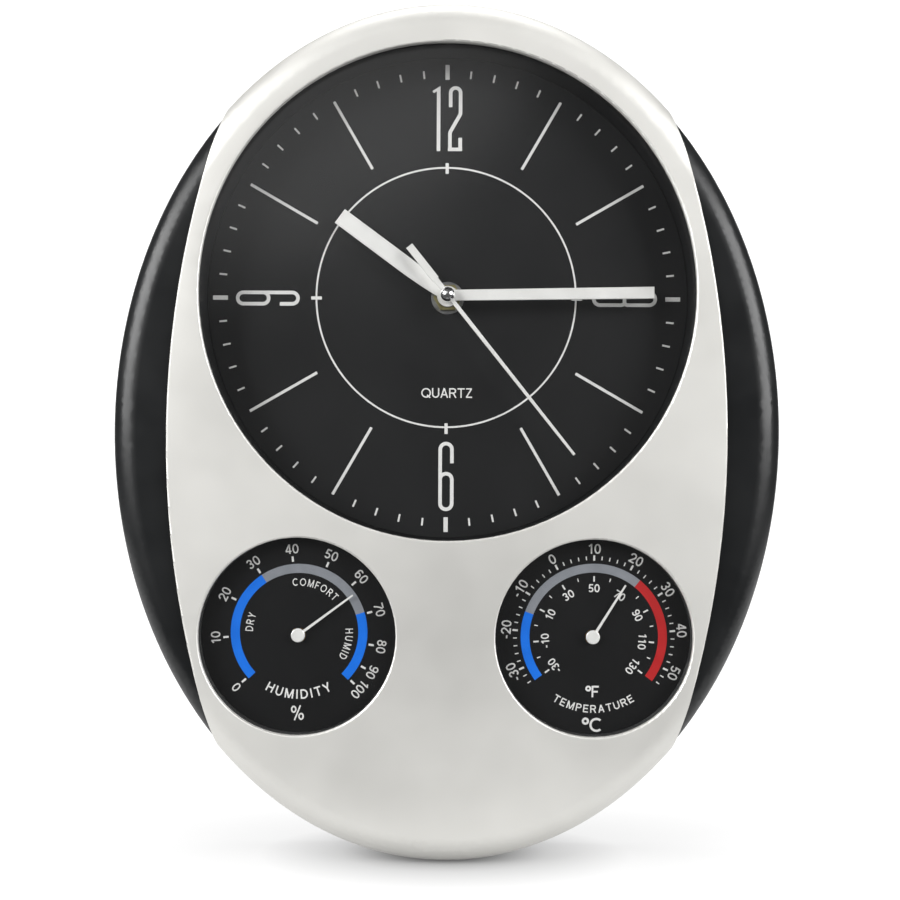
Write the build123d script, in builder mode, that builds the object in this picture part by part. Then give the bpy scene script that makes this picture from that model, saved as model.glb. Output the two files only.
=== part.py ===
from build123d import *
import os
from math import atan2, cos, degrees, hypot, radians, sin

os.makedirs("parts", exist_ok=True)

# An oval wall clock with a quartz movement, and a hygrometer and a thermometer below its dial.
# The face looks along -Y and the wall is the plane y = 0. The origin is the middle of the
# hanger hole, on the wall. Heights are measured from the wall towards the face, and spots
# are (right, up) from the middle of the case.

# Case
case_width = 267
case_height = 341
case_depth = 40
case_wall = 2.4
side_draft = 0.8
front_round = 11
hanger_rise = 140
overrun = 5

# Silver bezel over the black case
bezel_skin = 2.4
bezel_proud = 0.6
bezel_step = 2
bezel_gap = 0.25
crescent_width = 23.5
waist_radius = 387.5
waist_drop = 2.5
skirt_height = 14
bezel_edge = 0.8
window_edge = 0.7

# Clock window, lens, well and dial
dial_rise = 54.8
window_radius = 97.8
lens_margin = 3
lens_thick = 2
lens_gap = 0.3
lens_edge = 0.25
well_margin = 0.5
well_draft = 0.8
well_floor = 18.5
floor_thick = 2.2
dial_thick = 0.8
dial_gap = 0.5

# Gauge windows and cups
gauge_margin = 12.9
gauge_drop = 80.8
gauge_window = 38.8
gauge_lens_thick = 1.4
gauge_lens_margin = 1.4
cup_wall = 1.4
cup_back = 23
cup_floor = 1.6
cup_gap = 0.25
flange_width = 1.1
flange_thick = 2.2
collar_depth = 7.2
gauge_dial_height = 32.5
gauge_dial_thick = 0.5
gauge_ledge = 1.8

# Screws that hold the bezel from behind
screw_radius = 1.5
screw_head_radius = 2.8
screw_head_thick = 2
screw_length = 9
screw_slot_length = 3
screw_slot_width = 0.5
screw_slot_depth = 1
screw_shares = ((0, -0.35), (0, -0.87), (-0.46, -0.8), (0.46, -0.8), (-0.73, -0.26), (0.73, -0.26))
boss_radius = 3
pillar_back = 26
pillar_floor = 3
pillar_wall = 1.6
boss_gap = 0.3
press_gap = 0.02

# Catches that hold the bezel's top
catch_width = 12
catch_spread = 40
catch_height = 17
catch_thick = 2
catch_reach = 1.2
catch_gap = 0.4

# Hanger box
hanger_hole_radius = 5
hanger_slot_width = 5
hanger_slot_rise = 9.5
hanger_plate = 2.5
hanger_box_width = 20
hanger_box_height = 24
hanger_box_drop = 9

# Ribs inside the case
rib_thick = 1.6
rib_back = 15
rib_inset = 1.2

# Quartz movement
movement_size = 56
movement_round = 3
movement_back = 1.5
movement_wall = 1.2
case_split = 12.5
gasket_thick = 1
gasket_radius = 10
frame_wall = 1.6
frame_depth = 3
frame_gap = 0.3
chamber_width = 53
chamber_top = 26.5
chamber_bottom = -10.2
bush_radius = 4
bush_length = 7.7
bush_gap = 0.3
pivot_gap = 0.05
pivot_depth = 0.8
pivot_play = 0.1
washer_radius = 6.6
washer_thick = 0.6
washer_edge = 0.15
nut_across = 10
nut_thick = 2

# Battery bay
battery_radius = 7.1
battery_length = 49.2
battery_nub_radius = 2.75
battery_nub = 1.3
battery_edge = 0.6
battery_drop = 19
battery_height = 9
bay_gap = 0.2
bay_length = 52.4
contact_thick = 0.4
contact_width = 10
contact_tab = 2.5
leaf_width = 5
contact_rise = 13
contact_gap = 0.1

# Wheel train: heights of each layer, modules and tooth counts
arbor_radius = 0.4
second_arbor_radius = 0.45
train_module = 0.25
motion_module = 0.3
rotor_teeth = 8
fifth_teeth = 48
fifth_pinion_teeth = 10
second_teeth = 50
second_pinion_teeth = 8
third_teeth = 60
third_pinion_teeth = 8
centre_teeth = 64
cannon_teeth = 12
minute_work_teeth = 36
hour_pinion_teeth = 10
hour_teeth = 40
pinion_tooth_shares = (0.7, 1.15, 0.25, 0.1)
wheel_tooth_shares = (0.8, 1.05, 0.26, 0.09)
fifth_layer = (3.7, 4.5)
rotor_layer = (3.4, 4.7)
fifth_pinion_layer = (4.5, 6.4)
second_layer = (5, 6)
second_pinion_layer = (6, 8)
third_layer = (6.7, 7.7)
third_pinion_layer = (7.7, 10.9)
plate_layer = (8.2, 9)
plate_spot = (2.1, 2.85)
plate_width = 35.8
plate_height = 25.5
plate_posts = ((-14.2, -8.2), (-14.2, 14), (18.3, 6.5), (18.3, -8.2))
third_heading = -60
fifth_heading = 30
rotor_heading = 60
minute_work_heading = 120
knob_heading = 90
centre_layer = (9.5, 10.5)
cannon_layer = (10.9, 12.4)
minute_work_layer = (11.2, 12)
hour_pinion_layer = (12, 14.3)
hour_layer = (12.9, 13.8)
knob_pinion_layer = (10.9, 12.4)
minute_pipe_radius = 1.4
minute_pipe_back = 9.2
collar_radius = 1.9
hour_pipe_radius = 2.3
hour_collar_radius = 3.3
thrust_gap = 0.2
post_radius = 0.6
knob_radius = 4.5
knob_back = 0.4
knob_thick = 1
knob_stem_radius = 1.2

# Motor and circuit
magnet_radius = 2.9
magnet_layer = (5, 7.4)
rotor_hub_radius = 1.2
stator_radius = 5
stator_hole_radius = 3.3
stator_layer = (5.2, 6.2)
leg_width = 3.2
bar_shift = 0.4
core_thick = 1.2
core_length = 28
core_shift = 2.5
core_rise = 20.8
bobbin_length = 21
bobbin_flange = 0.8
bobbin_radius = 4
barrel_radius = 2.4
winding_radius = 3.7
core_gap = 0.1
support_radius = 1.5
board_width = 9.4
board_height = 27.6
board_spot = (-21.05, 4.2)
board_post_share = 0.4
board_layer = (11.2, 12.2)
chip_radius = 3
chip_thick = 1.2
chip_round = 0.6
crystal_radius = 1.45
crystal_length = 7.5
crystal_rise = 1
crystal_round = 0.48

# Hands, turned clockwise from twelve o'clock
hand_thick = 0.5
hand_bevel = 0.15
hour_turn = -53.7
minute_turn = 88.9
second_turn = 141.3
hour_hand_height = 26.6
minute_hand_height = 29.2
second_hand_height = 31.4
hour_length = 54
hour_width = 6.8
hour_neck_width = 4.4
hour_taper = 23
hour_hub_radius = 4.2
minute_length = 82.6
minute_width = 4.75
minute_neck_width = 4.35
minute_hub_radius = 3.1
second_length = 81.3
second_width = 1.07
second_neck_width = 1.67
second_hub_radius = 2.2
second_thick = 0.4
tail_length = 24.7
tail_width = 3.06
tail_neck_width = 2.2
tail_neck_length = 7.6
pipe_end = 0.3
sleeve_wall = 0.7
sleeve_length = 0.9
cap_radius = 2.85
cap_rise = 0.4
cap_bore = 0.95

# Gauge works
staff_radius = 0.5
staff_collet_radius = 1.6
coil_strip = 0.35
coil_tall = 2.5
coil_height = 27.2
coil_inner = 2.1
coil_pitch = 1.6
coil_half_turns = 9
anchor_width = 1.8
bridge_height = 30.6
bridge_thick = 0.8
bridge_length = 32
bridge_width = 5
bridge_post_radius = 1.6
cup_boss_radius = 2.5
cup_boss_tall = 1.4
vent_radius = 2.2
vent_ring_radius = 26
vent_count = 8
pointer_height = 34.2
pointer_thick = 0.35
pointer_width = 0.7
pointer_neck_width = 1.1
pointer_hub_radius = 2.75
pointer_hub_thick = 1
pointer_hub_edge = 0.4
dial_hole_radius = 3
humidity_turn = 53.4
humidity_length = 26.8
temperature_turn = 32
temperature_length = 24.3

# Heights and places that follow from the sizes above
case_z = -hanger_rise
waist_width = case_width - 2 * crescent_width
gauge_spread = waist_width / 2 - gauge_window - gauge_margin
seat_height = case_depth - bezel_skin
side_height = case_depth - bezel_step
bezel_round = front_round + bezel_proud
seat_round = bezel_round - bezel_skin
seat_inset = bezel_skin - bezel_proud + bezel_gap
hub = (0, dial_rise)
lens_radius = window_radius + lens_margin
lens_back = seat_height - lens_thick
well_radius = window_radius + well_margin
dial_back = well_floor + floor_thick
dial_front = dial_back + dial_thick
movement_front = well_floor - gasket_thick
movement_inside = movement_front - movement_wall
movement_floor = movement_back + movement_wall
bush_front = movement_front + bush_length
cup_radius = gauge_window + cup_wall
flange_radius = cup_radius + flange_width
gauge_lens_radius = gauge_window + gauge_lens_margin
gauge_lens_back = seat_height - gauge_lens_thick
collar_back = seat_height - flange_thick - collar_depth
gauge_spots = {"humidity": (-gauge_spread, -gauge_drop), "temperature": (gauge_spread, -gauge_drop)}
screw_spots = [(right * case_width / 2, up * case_height / 2) for right, up in screw_shares]
pillar_radius = boss_radius + boss_gap + pillar_wall
pillar_top = pillar_back + pillar_floor
hour_pinion_module = motion_module * (cannon_teeth + minute_work_teeth) / (hour_pinion_teeth + hour_teeth)
third_distance = train_module * (second_pinion_teeth + third_teeth) / 2
centre_module = 2 * third_distance / (third_pinion_teeth + centre_teeth)
fifth_distance = train_module * (fifth_pinion_teeth + second_teeth) / 2
rotor_distance = train_module * (rotor_teeth + fifth_teeth) / 2
motion_distance = motion_module * (cannon_teeth + minute_work_teeth) / 2


def face_plane(height, spot=(0, 0), turn=0):
    # The plane at a height above the wall, turned clockwise as the viewer sees it
    angle = radians(turn)
    return Plane(
        origin=(spot[0], -height, case_z + spot[1]),
        x_dir=(cos(angle), 0, -sin(angle)),
        z_dir=(0, -1, 0),
    )


def side_plane(spot, height):
    # The plane across the X axis: its own x runs towards the face and its own y runs down
    return Plane(origin=(spot[0], -height, case_z + spot[1]), x_dir=(0, -1, 0), z_dir=(1, 0, 0))


def around(spot, turn, distance):
    return (spot[0] + distance * sin(radians(turn)), spot[1] + distance * cos(radians(turn)))


def heading(start, end):
    # Clockwise angle from up of the way from one spot to another
    return degrees(atan2(end[0] - start[0], end[1] - start[1]))


def in_movement(right, up):
    return (hub[0] + right, hub[1] + up)


def save(piece, name):
    piece.part.label = name
    export_step(piece.part, f"parts/{name}.step")


def disc(height, thick, radius, spot=hub, mode=Mode.ADD):
    with BuildSketch(face_plane(height, spot)) as outline:
        Circle(radius)
    extrude(outline.sketch, amount=thick, mode=mode)


def oval_block(inset, back, front, rounding):
    # An oval block with drafted sides and a rounded front edge
    with BuildPart() as block:
        for height in (back, front):
            lean = side_draft * height / case_depth
            with BuildSketch(face_plane(height)):
                Ellipse(case_width / 2 - inset - lean, case_height / 2 - inset - lean)
        loft()
        fillet(block.faces().sort_by(Axis.Y)[0].edges(), rounding)
    return block.part


def waist_block(margin, back, front):
    # The upright band between the two side arcs, which the bezel covers
    with BuildPart() as block:
        with BuildSketch(face_plane(back)):
            with Locations((waist_radius - waist_width / 2, -waist_drop)):
                Circle(waist_radius + margin)
            with Locations((waist_width / 2 - waist_radius, -waist_drop)):
                Circle(waist_radius + margin, mode=Mode.INTERSECT)
        extrude(amount=front - back)
        fillet(block.faces().sort_by(Axis.Y)[0].edges(), bezel_edge)
    return block.part


def catch_block(gap, reach):
    # The two bars of the catches, down to their reach inside the bezel's skin
    with BuildPart() as block:
        with BuildSketch(face_plane(catch_height - gap)):
            with Locations((-catch_spread, case_height / 2), (catch_spread, case_height / 2)):
                Rectangle(catch_width + 2 * gap, case_height / 2)
        extrude(amount=catch_thick + 2 * gap)
        add(oval_block(bezel_skin - bezel_proud + reach, 0, case_depth, front_round), mode=Mode.SUBTRACT)
    return block.part


# The space that the bezel takes from the oval
with BuildPart() as bezel_space:
    add(waist_block(bezel_gap, skirt_height - bezel_gap, 2 * case_depth))
    add(oval_block(seat_inset, 0, seat_height, seat_round), mode=Mode.SUBTRACT)

with BuildPart() as side_hollow:
    add(oval_block(case_wall, -overrun, side_height - case_wall, front_round - case_wall))
    add(waist_block(bezel_gap + case_wall, -overrun, 2 * case_depth), mode=Mode.SUBTRACT)

# What stands inside the oval dish: the dial well, gauge collars, screw pillars, ribs, hanger box
with BuildPart() as inside:
    disc(well_floor, seat_height - well_floor, well_radius + case_wall)
    disc(lens_back - case_wall, lens_thick + case_wall, lens_radius + lens_gap + case_wall)
    for spot in gauge_spots.values():
        disc(collar_back, seat_height - collar_back, flange_radius + cup_gap + case_wall, spot)
    for spot in screw_spots:
        disc(pillar_back, seat_height - pillar_back, pillar_radius, spot)
    with BuildSketch(face_plane(rib_back)):
        for side in (-1, 1):
            for rise in (dial_rise, 0):
                with Locations((side * (well_radius + case_width / 4), rise)):
                    Rectangle(case_width / 2, rib_thick)
            with Locations((side * (gauge_spread + flange_radius + case_width / 4), -gauge_drop)):
                Rectangle(case_width / 2, rib_thick)
        with Locations((0, dial_rise - well_radius - case_height / 4)):
            Rectangle(rib_thick, case_height / 2)
    extrude(amount=seat_height - rib_back - rib_inset)
    for spot in screw_spots:
        disc(-overrun, pillar_back + overrun, pillar_radius, spot, mode=Mode.SUBTRACT)
    add(oval_block(rib_inset, -overrun, side_height, front_round), mode=Mode.INTERSECT)

with BuildPart() as rear_body:
    add(oval_block(0, 0, side_height, front_round))
    add(
        oval_block(seat_inset + case_wall, -overrun, seat_height - case_wall, seat_round - case_wall),
        mode=Mode.SUBTRACT,
    )
    add(side_hollow.part, mode=Mode.SUBTRACT)
    add(inside.part)
    # Frame that keeps the movement from turning
    frame_inner = movement_size + 2 * frame_gap
    with BuildSketch(face_plane(well_floor - frame_depth, hub)):
        Rectangle(frame_inner + 2 * frame_wall, frame_inner + 2 * frame_wall)
        Rectangle(frame_inner, frame_inner, mode=Mode.SUBTRACT)
    extrude(amount=frame_depth)
    # Hanger box with its keyhole
    with BuildSketch(face_plane(0, (0, hanger_rise - hanger_box_drop + hanger_box_height / 2))):
        Rectangle(hanger_box_width, hanger_box_height)
    extrude(amount=well_floor)
    with BuildSketch(face_plane(hanger_plate, (0, hanger_rise - hanger_box_drop + hanger_box_height / 2))):
        Rectangle(hanger_box_width - 2 * case_wall, hanger_box_height - 2 * case_wall)
    extrude(amount=well_floor - hanger_plate, mode=Mode.SUBTRACT)
    with BuildSketch(face_plane(0, (0, hanger_rise))):
        Circle(hanger_hole_radius)
        with Locations((0, hanger_slot_rise / 2)):
            Rectangle(hanger_slot_width, hanger_slot_rise)
        with Locations((0, hanger_slot_rise)):
            Circle(hanger_slot_width / 2)
    extrude(amount=hanger_plate, mode=Mode.SUBTRACT)
    add(bezel_space.part, mode=Mode.SUBTRACT)
    add(catch_block(catch_gap, catch_reach + catch_gap), mode=Mode.SUBTRACT)
    # Dial well, with the lens seat around its mouth
    with BuildSketch(face_plane(dial_back, hub)):
        Circle(well_radius - well_draft)
    with BuildSketch(face_plane(lens_back, hub)):
        Circle(well_radius)
    loft(mode=Mode.SUBTRACT)
    disc(lens_back, lens_thick + overrun, lens_radius + lens_gap, mode=Mode.SUBTRACT)
    disc(well_floor - overrun, 2 * overrun, bush_radius + bush_gap, mode=Mode.SUBTRACT)
    for spot in gauge_spots.values():
        disc(collar_back - overrun, case_depth, cup_radius + cup_gap, spot, mode=Mode.SUBTRACT)
        disc(seat_height - flange_thick, case_depth, flange_radius + cup_gap, spot, mode=Mode.SUBTRACT)
    for spot in screw_spots:
        disc(pillar_back, case_depth, screw_radius + boss_gap, spot, mode=Mode.SUBTRACT)
        disc(pillar_top, case_depth, boss_radius + boss_gap, spot, mode=Mode.SUBTRACT)
save(rear_body, "rear_body")

# Silver bezel
with BuildPart() as catches:
    add(catch_block(0, catch_reach))
    add(oval_block(0, 0, case_depth, front_round), mode=Mode.INTERSECT)

with BuildPart() as front_bezel:
    add(oval_block(-bezel_proud, skirt_height, case_depth, bezel_round))
    add(
        oval_block(bezel_skin - bezel_proud, skirt_height - overrun, seat_height, seat_round),
        mode=Mode.SUBTRACT,
    )
    for spot, radius in [(hub, window_radius)] + [(spot, gauge_window) for spot in gauge_spots.values()]:
        disc(seat_height - overrun, 2 * overrun, radius, spot, mode=Mode.SUBTRACT)
    rims = front_bezel.faces().sort_by(Axis.Y)[0].inner_wires()
    fillet([edge for rim in rims for edge in rim.edges()], window_edge)
    add(waist_block(0, 0, case_depth), mode=Mode.INTERSECT)
    for spot in screw_spots:
        disc(pillar_top, seat_height - pillar_top, boss_radius, spot)
        disc(pillar_top - overrun, screw_length + overrun - pillar_floor, screw_radius + press_gap, spot,
             mode=Mode.SUBTRACT)
    add(catches.part)
save(front_bezel, "front_bezel")

with BuildPart() as bezel_screws:
    for spot in screw_spots:
        disc(pillar_back - screw_head_thick, screw_head_thick, screw_head_radius, spot)
        disc(pillar_back, screw_length, screw_radius, spot)
        with BuildSketch(face_plane(pillar_back - screw_head_thick, spot)):
            Rectangle(screw_slot_length, screw_slot_width)
            Rectangle(screw_slot_width, screw_slot_length)
        extrude(amount=screw_slot_depth, mode=Mode.SUBTRACT)
save(bezel_screws, "bezel_screws")

# Clock lens and printed dial
with BuildPart() as clock_lens:
    disc(lens_back, lens_thick, lens_radius)
    chamfer(clock_lens.edges(), lens_edge)
save(clock_lens, "clock_lens")

with BuildPart() as clock_dial:
    disc(dial_back, dial_thick, well_radius - well_draft - dial_gap)
    disc(dial_back, dial_thick, bush_radius + bush_gap, mode=Mode.SUBTRACT)
save(clock_dial, "clock_dial")


# Movement case: a rear box and a front cover around the wheels and the battery bay
def movement_box(back, front):
    with BuildSketch(face_plane(back, hub)) as outline:
        RectangleRounded(movement_size, movement_size, movement_round)
    extrude(outline.sketch, amount=front - back)


def cut_chamber(back, front):
    with BuildSketch(face_plane(back, in_movement(0, (chamber_top + chamber_bottom) / 2))) as outline:
        Rectangle(chamber_width, chamber_top - chamber_bottom)
    extrude(outline.sketch, amount=front - back, mode=Mode.SUBTRACT)


def cut_bay():
    # The battery lies across the movement and goes in from the wall side
    bay_radius = battery_radius + bay_gap
    bay_plane = side_plane(in_movement(-bay_length / 2, -battery_drop), battery_height)
    with BuildSketch(bay_plane) as outline:
        Circle(bay_radius)
        with Locations((-battery_height / 2, 0)):
            Rectangle(battery_height, 2 * bay_radius)
    extrude(outline.sketch, amount=bay_length, mode=Mode.SUBTRACT)
    tab_rise = (chamber_bottom - battery_drop + bay_radius) / 2
    for side in (-1, 1):
        slot_right = side * (bay_length - contact_thick - contact_gap) / 2
        slot_plane = face_plane(contact_rise - 2 * contact_tab, in_movement(slot_right, tab_rise))
        with BuildSketch(slot_plane) as slot:
            Rectangle(contact_thick + contact_gap, contact_width)
        extrude(slot.sketch, amount=3 * contact_tab, mode=Mode.SUBTRACT)


third_spot = around(hub, third_heading, third_distance)
fifth_spot = around(hub, fifth_heading, fifth_distance)
rotor_spot = around(fifth_spot, rotor_heading, rotor_distance)
minute_work_spot = around(hub, minute_work_heading, motion_distance)
knob_spot = around(minute_work_spot, knob_heading, motion_distance)
board_posts = [(board_spot[0], board_spot[1] + side * board_post_share * board_height) for side in (-1, 1)]
pivot_floor = movement_floor - pivot_depth

with BuildPart() as movement_rear_case:
    movement_box(movement_back, case_split)
    cut_chamber(movement_floor, case_split)
    cut_bay()
    for spot in plate_posts:
        disc(movement_floor, plate_layer[0] - movement_floor, support_radius, in_movement(*spot))
    for spot in board_posts:
        disc(movement_floor, board_layer[0] - movement_floor, support_radius, in_movement(*spot))
    for spot, radius in ((hub, second_arbor_radius), (third_spot, arbor_radius), (fifth_spot, arbor_radius),
                         (rotor_spot, arbor_radius)):
        disc(pivot_floor, pivot_depth, radius + pivot_gap, spot, mode=Mode.SUBTRACT)
    disc(movement_back, movement_wall, knob_stem_radius + pivot_gap, knob_spot, mode=Mode.SUBTRACT)
save(movement_rear_case, "movement_rear_case")

with BuildPart() as movement_front_cover:
    movement_box(case_split, movement_front)
    cut_chamber(case_split, movement_inside)
    cut_bay()
    disc(movement_front, bush_length, bush_radius)
    chamfer(movement_front_cover.faces().sort_by(Axis.Y)[0].outer_wire().edges(), hand_thick)
    disc(movement_inside, movement_wall + bush_length, hour_pipe_radius + pivot_gap, mode=Mode.SUBTRACT)
    disc(minute_work_layer[0] - thrust_gap, movement_inside - minute_work_layer[0] + thrust_gap, post_radius,
         minute_work_spot)
    for spot, radius in ((third_spot, arbor_radius), (knob_spot, arbor_radius)):
        disc(movement_inside, pivot_depth, radius + pivot_gap, spot, mode=Mode.SUBTRACT)
save(movement_front_cover, "movement_front_cover")

with BuildPart() as train_plate:
    with BuildSketch(face_plane(plate_layer[0], hub)):
        with Locations(plate_spot):
            RectangleRounded(plate_width, plate_height, movement_round)
    extrude(amount=plate_layer[1] - plate_layer[0])
    for spot, radius in ((hub, second_arbor_radius), (fifth_spot, arbor_radius), (rotor_spot, arbor_radius),
                         (knob_spot, knob_stem_radius)):
        disc(plate_layer[0], plate_layer[1] - plate_layer[0], radius + pivot_gap, spot, mode=Mode.SUBTRACT)
    third_clearance = centre_module * (third_pinion_teeth / 2 + 2)
    disc(plate_layer[0], plate_layer[1] - plate_layer[0], third_clearance, third_spot, mode=Mode.SUBTRACT)
save(train_plate, "train_plate")

with BuildPart() as rubber_gasket:
    disc(movement_front, gasket_thick, gasket_radius)
    disc(movement_front, gasket_thick, bush_radius + bush_gap, mode=Mode.SUBTRACT)
save(rubber_gasket, "rubber_gasket")

with BuildPart() as shaft_washer:
    disc(dial_front, washer_thick, washer_radius)
    disc(dial_front, washer_thick, bush_radius + bush_gap, mode=Mode.SUBTRACT)
    chamfer(shaft_washer.faces().sort_by(Axis.Y)[0].outer_wire().edges(), washer_edge)
save(shaft_washer, "shaft_washer")

with BuildPart() as shaft_nut:
    with BuildSketch(face_plane(dial_front + washer_thick, hub)):
        RegularPolygon(nut_across / 2, 6, major_radius=False)
        Circle(bush_radius + press_gap, mode=Mode.SUBTRACT)
    extrude(amount=nut_thick)
save(shaft_nut, "shaft_nut")


# Toothed wheels
def toothed(layer, spot, teeth, module, turn, tooth_shares, bore=0):
    # Each tooth is a flat-topped wedge: four points, clockwise from up
    addendum_share, dedendum_share, root_share, tip_share = tooth_shares
    pitch_radius = teeth * module / 2
    root_radius = pitch_radius - dedendum_share * module
    tip_radius = pitch_radius + addendum_share * module
    corners = (
        (root_radius, -root_share),
        (tip_radius, -tip_share),
        (tip_radius, tip_share),
        (root_radius, root_share),
    )
    points = []
    for tooth in range(teeth):
        for radius, share in corners:
            points.append(around((0, 0), turn + (tooth + share) * 360 / teeth, radius))
    with BuildSketch(face_plane(layer[0], spot)) as outline:
        with BuildLine():
            Polyline(*points, close=True)
        make_face()
        if bore:
            Circle(bore, mode=Mode.SUBTRACT)
    extrude(outline.sketch, amount=layer[1] - layer[0])


def gap_turn(start, end, teeth):
    # Turns a wheel at the end spot so that a gap takes the tooth that points at it from the start
    return heading(start, end) + 180 + 180 / teeth


def arbor(back, front, radius, spot):
    disc(back, front - back, radius, spot)


pivot_back = pivot_floor + pivot_play

with BuildPart() as rotor_pinion:
    toothed(rotor_layer, rotor_spot, rotor_teeth, train_module, heading(rotor_spot, fifth_spot),
            pinion_tooth_shares)
    arbor(rotor_layer[1], magnet_layer[1], rotor_hub_radius, rotor_spot)
    arbor(pivot_back, plate_layer[1], arbor_radius, rotor_spot)
save(rotor_pinion, "rotor_pinion")

with BuildPart() as rotor_magnet:
    magnet_thick = magnet_layer[1] - magnet_layer[0]
    disc(magnet_layer[0], magnet_thick, magnet_radius, rotor_spot)
    disc(magnet_layer[0], magnet_thick, rotor_hub_radius + press_gap, rotor_spot, mode=Mode.SUBTRACT)
save(rotor_magnet, "rotor_magnet")

with BuildPart() as fifth_wheel:
    toothed(fifth_layer, fifth_spot, fifth_teeth, train_module, gap_turn(rotor_spot, fifth_spot, fifth_teeth),
            wheel_tooth_shares)
    toothed(fifth_pinion_layer, fifth_spot, fifth_pinion_teeth, train_module, heading(fifth_spot, hub),
            pinion_tooth_shares)
    arbor(pivot_back, plate_layer[1], arbor_radius, fifth_spot)
save(fifth_wheel, "fifth_wheel")

second_tip = second_hand_height + second_thick + cap_bore
with BuildPart() as second_wheel:
    toothed(second_layer, hub, second_teeth, train_module, gap_turn(fifth_spot, hub, second_teeth),
            wheel_tooth_shares)
    toothed(second_pinion_layer, hub, second_pinion_teeth, train_module, heading(hub, third_spot),
            pinion_tooth_shares)
    arbor(pivot_back, second_tip, second_arbor_radius, hub)
save(second_wheel, "second_wheel")

with BuildPart() as third_wheel:
    toothed(third_layer, third_spot, third_teeth, train_module, gap_turn(hub, third_spot, third_teeth),
            wheel_tooth_shares)
    toothed(third_pinion_layer, third_spot, third_pinion_teeth, centre_module, heading(third_spot, hub),
            pinion_tooth_shares)
    arbor(pivot_back, movement_inside + pivot_depth - pivot_play, arbor_radius, third_spot)
save(third_wheel, "third_wheel")

with BuildPart() as centre_wheel:
    toothed(centre_layer, hub, centre_teeth, centre_module, gap_turn(third_spot, hub, centre_teeth),
            wheel_tooth_shares, collar_radius + pivot_gap)
save(centre_wheel, "centre_wheel")

with BuildPart() as minute_pipe:
    arbor(minute_pipe_back, cannon_layer[0], collar_radius, hub)
    toothed(cannon_layer, hub, cannon_teeth, motion_module, heading(hub, minute_work_spot),
            pinion_tooth_shares)
    arbor(cannon_layer[0], minute_hand_height + hand_thick + pipe_end, minute_pipe_radius, hub)
    disc(minute_pipe_back, case_depth, second_arbor_radius + pivot_gap, hub, mode=Mode.SUBTRACT)
save(minute_pipe, "minute_pipe")

minute_work_turn = gap_turn(hub, minute_work_spot, minute_work_teeth)
with BuildPart() as minute_work_wheel:
    toothed(minute_work_layer, minute_work_spot, minute_work_teeth, motion_module, minute_work_turn,
            wheel_tooth_shares)
    toothed(hour_pinion_layer, minute_work_spot, hour_pinion_teeth, hour_pinion_module,
            heading(minute_work_spot, hub), pinion_tooth_shares)
    disc(minute_work_layer[0], hour_pinion_layer[1] - minute_work_layer[0], post_radius + pivot_gap,
         minute_work_spot, mode=Mode.SUBTRACT)
save(minute_work_wheel, "minute_work_wheel")

with BuildPart() as hour_wheel:
    toothed(hour_layer, hub, hour_teeth, hour_pinion_module, gap_turn(minute_work_spot, hub, hour_teeth),
            wheel_tooth_shares)
    arbor(hour_layer[1], movement_inside - thrust_gap, hour_collar_radius, hub)
    arbor(hour_layer[0], hour_hand_height + hand_thick + pipe_end, hour_pipe_radius, hub)
    disc(hour_layer[0], case_depth, minute_pipe_radius + pivot_gap, hub, mode=Mode.SUBTRACT)
save(hour_wheel, "hour_wheel")

# The knob's pinion takes the gaps of the minute work wheel where that wheel's teeth stand
tooth_step = 360 / cannon_teeth
wheel_share = (minute_work_turn - heading(minute_work_spot, knob_spot)) * minute_work_teeth / 360
knob_turn = heading(minute_work_spot, knob_spot) + 180 + tooth_step * (0.5 - wheel_share)
with BuildPart() as set_knob:
    disc(knob_back, knob_thick, knob_radius, knob_spot)
    arbor(knob_back, knob_pinion_layer[0], knob_stem_radius, knob_spot)
    toothed(knob_pinion_layer, knob_spot, cannon_teeth, motion_module, knob_turn, pinion_tooth_shares)
    arbor(knob_pinion_layer[0], movement_inside + pivot_depth - pivot_play, arbor_radius, knob_spot)
save(set_knob, "set_knob")

# Motor: stator, coil and core
core_height = (stator_layer[1] + stator_layer[1] + core_thick) / 2
core_left = core_shift - core_length / 2
core_right = core_shift + core_length / 2
rotor_right = rotor_spot[0] - hub[0]
rotor_up = rotor_spot[1] - hub[1]
with BuildPart() as stator:
    with BuildSketch(face_plane(stator_layer[0], hub)):
        with Locations((rotor_right, rotor_up)):
            Circle(stator_radius)
        leg_top = core_rise + leg_width / 2
        bar_up = rotor_up + bar_shift
        with Locations(((core_left + rotor_right) / 2, bar_up)):
            Rectangle(rotor_right - core_left, leg_width)
        with Locations((core_left + leg_width / 2, (leg_top + bar_up - leg_width / 2) / 2)):
            Rectangle(leg_width, leg_top - bar_up + leg_width / 2)
        with Locations((core_right - leg_width / 2, (leg_top + rotor_up) / 2)):
            Rectangle(leg_width, leg_top - rotor_up)
        with Locations((rotor_right, rotor_up)):
            Circle(stator_hole_radius, mode=Mode.SUBTRACT)
    extrude(amount=stator_layer[1] - stator_layer[0])
save(stator, "stator")

with BuildPart() as coil_core:
    with BuildSketch(face_plane(stator_layer[1], in_movement(core_shift, core_rise))):
        Rectangle(core_length, leg_width)
    extrude(amount=core_thick)
save(coil_core, "coil_core")

bobbin_left = core_shift - bobbin_length / 2
with BuildPart() as coil_bobbin:
    for start, length, radius in (
        (0, bobbin_flange, bobbin_radius),
        (0, bobbin_length, barrel_radius),
        (bobbin_length - bobbin_flange, bobbin_flange, bobbin_radius),
    ):
        with BuildSketch(side_plane(in_movement(bobbin_left + start, core_rise), core_height)):
            Circle(radius)
        extrude(amount=length)
    with BuildSketch(side_plane(in_movement(bobbin_left, core_rise), core_height)):
        Rectangle(core_thick + core_gap, leg_width + core_gap)
    extrude(amount=bobbin_length, mode=Mode.SUBTRACT)
save(coil_bobbin, "coil_bobbin")

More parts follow.
